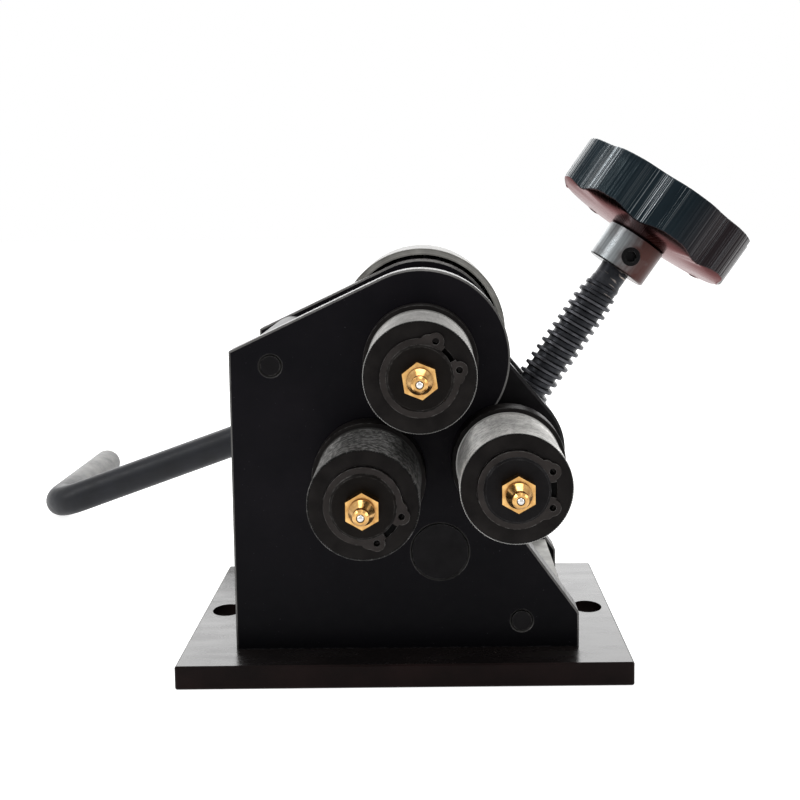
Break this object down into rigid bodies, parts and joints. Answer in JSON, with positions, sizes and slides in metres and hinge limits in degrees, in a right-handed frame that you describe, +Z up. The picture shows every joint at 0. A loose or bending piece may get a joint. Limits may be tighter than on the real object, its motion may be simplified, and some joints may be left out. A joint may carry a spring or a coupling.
{
  "type": "ring roller",
  "caption": "Bench ring roller: upright plates on a base, knurled rollers, crank drive and a handwheel screw that raises the swinging roller to bend bar and strip.",
  "frame": {"origin": "middle of the base's underside, between the two bench holes", "axes": "+X along the base towards the handwheel, +Y from the rollers to the gear case, +Z up"},
  "size_m": [0.3766, 0.3673, 0.2162],
  "materials": {
    "black_plate": "satin black oxide",
    "black_base": "semi-gloss black",
    "dark_steel": "oiled dark steel",
    "bright_steel": "machined",
    "roller_steel": "knurled and hardened",
    "spring_steel": "phosphated",
    "bronze": "machined bronze",
    "brass": "polished",
    "ball_steel": "polished",
    "black_enamel": "satin enamel",
    "wheel_black": "gloss black"
  },
  "bodies": {
    "frame": {"base_plate": "black_base", "plate_screws": "dark_steel", "front_plate": "black_plate", "back_plate": "black_plate", "upper_tie_rod": "bright_steel", "lower_spacer": "black_plate", "spacer_pin": "bright_steel", "front_shaft_bushes": "bronze", "rear_shaft_bushes": "bronze", "gear_case": "black_plate", "gear_case_cover": "black_plate", "cover_screws": "dark_steel", "cover_bush": "bronze"},
    "top_spindle": {"top_shaft": "bright_steel", "top_roller": "roller_steel", "spindle_keys": "bright_steel", "top_circlip": "spring_steel", "top_nipple": "brass", "top_nipple_ball": "ball_steel", "drive_gear": "bright_steel", "gear_circlip": "spring_steel"},
    "crank": {"crank_shaft": "bright_steel", "pinion": "bright_steel", "crank_keys": "bright_steel", "left_circlip": "spring_steel", "left_nipple": "brass", "left_nipple_ball": "ball_steel", "crank_hub": "black_enamel", "crank_arm": "black_enamel", "crank_washer": "dark_steel", "crank_nut": "dark_steel"},
    "left_roller": {"left_roller": "roller_steel", "left_roller_bush": "dark_steel"},
    "swing_arm": {"front_cheek": "dark_steel", "rear_cheek": "dark_steel", "arm_sleeve": "dark_steel", "cheek_bushes": "bronze", "trunnion_bushes": "bronze"},
    "roller_trunnion": {"nut_block": "dark_steel", "bronze_nut": "bronze", "right_circlip": "spring_steel", "right_nipple": "brass", "right_nipple_ball": "ball_steel"},
    "right_roller": {"right_roller": "roller_steel", "right_roller_bush": "dark_steel"},
    "trunnion_pin": {"trunnion_pin": "dark_steel"},
    "bending_screw": {"screw": "bright_steel", "foot_collar": "bright_steel", "collar_pin": "bright_steel", "handwheel_hub": "bright_steel", "set_screw": "dark_steel", "handwheel": "wheel_black", "wheel_nut": "bright_steel"}
  },
  "joints": [
    {"name": "handwheel_turn", "type": "hinge", "parent": "trunnion_pin", "child": "bending_screw", "pos_m": [0.0145, 0.003, 0.0494], "axis": [-0.5758, 0, -0.8176], "range_deg": [-91.67, 2406.42]},
    {"name": "pin_swivel", "type": "hinge", "parent": "frame", "child": "trunnion_pin", "pos_m": [0.0145, 0, 0.0494], "axis": [0, -1, 0], "range_deg": [-2, 2]},
    {"name": "arm_swing", "type": "hinge", "parent": "frame", "child": "swing_arm", "pos_m": [0.0075, 0, 0.1278], "axis": [0, -1, 0], "range_deg": [-1.2, 30]},
    {"name": "nut_swivel", "type": "hinge", "parent": "swing_arm", "child": "roller_trunnion", "pos_m": [0.0414, 0, 0.0876], "axis": [0, -1, 0], "range_deg": [-32, 2]},
    {"name": "right_roller_spin", "type": "hinge", "parent": "roller_trunnion", "child": "right_roller", "pos_m": [0.0414, 0, 0.0876], "axis": [0, 1, 0], "continuous": true},
    {"name": "top_spindle_turn", "type": "hinge", "parent": "frame", "child": "top_spindle", "pos_m": [0.0075, 0, 0.1278], "axis": [0, 1, 0], "continuous": true},
    {"name": "crank_turn", "type": "hinge", "parent": "frame", "child": "crank", "pos_m": [-0.01308, 0, 0.08223], "axis": [0, 1, 0], "continuous": true},
    {"name": "left_roller_spin", "type": "hinge", "parent": "crank", "child": "left_roller", "pos_m": [-0.01308, 0, 0.08223], "axis": [0, 1, 0], "continuous": true}
  ],
  "couplings": [
    {"joint": "arm_swing", "follows": "handwheel_turn", "ratio": 0.012386},
    {"joint": "nut_swivel", "follows": "handwheel_turn", "ratio": -0.012786},
    {"joint": "pin_swivel", "follows": "handwheel_turn", "ratio": -0.0004},
    {"joint": "top_spindle_turn", "follows": "crank_turn", "ratio": -0.47059}
  ]
}
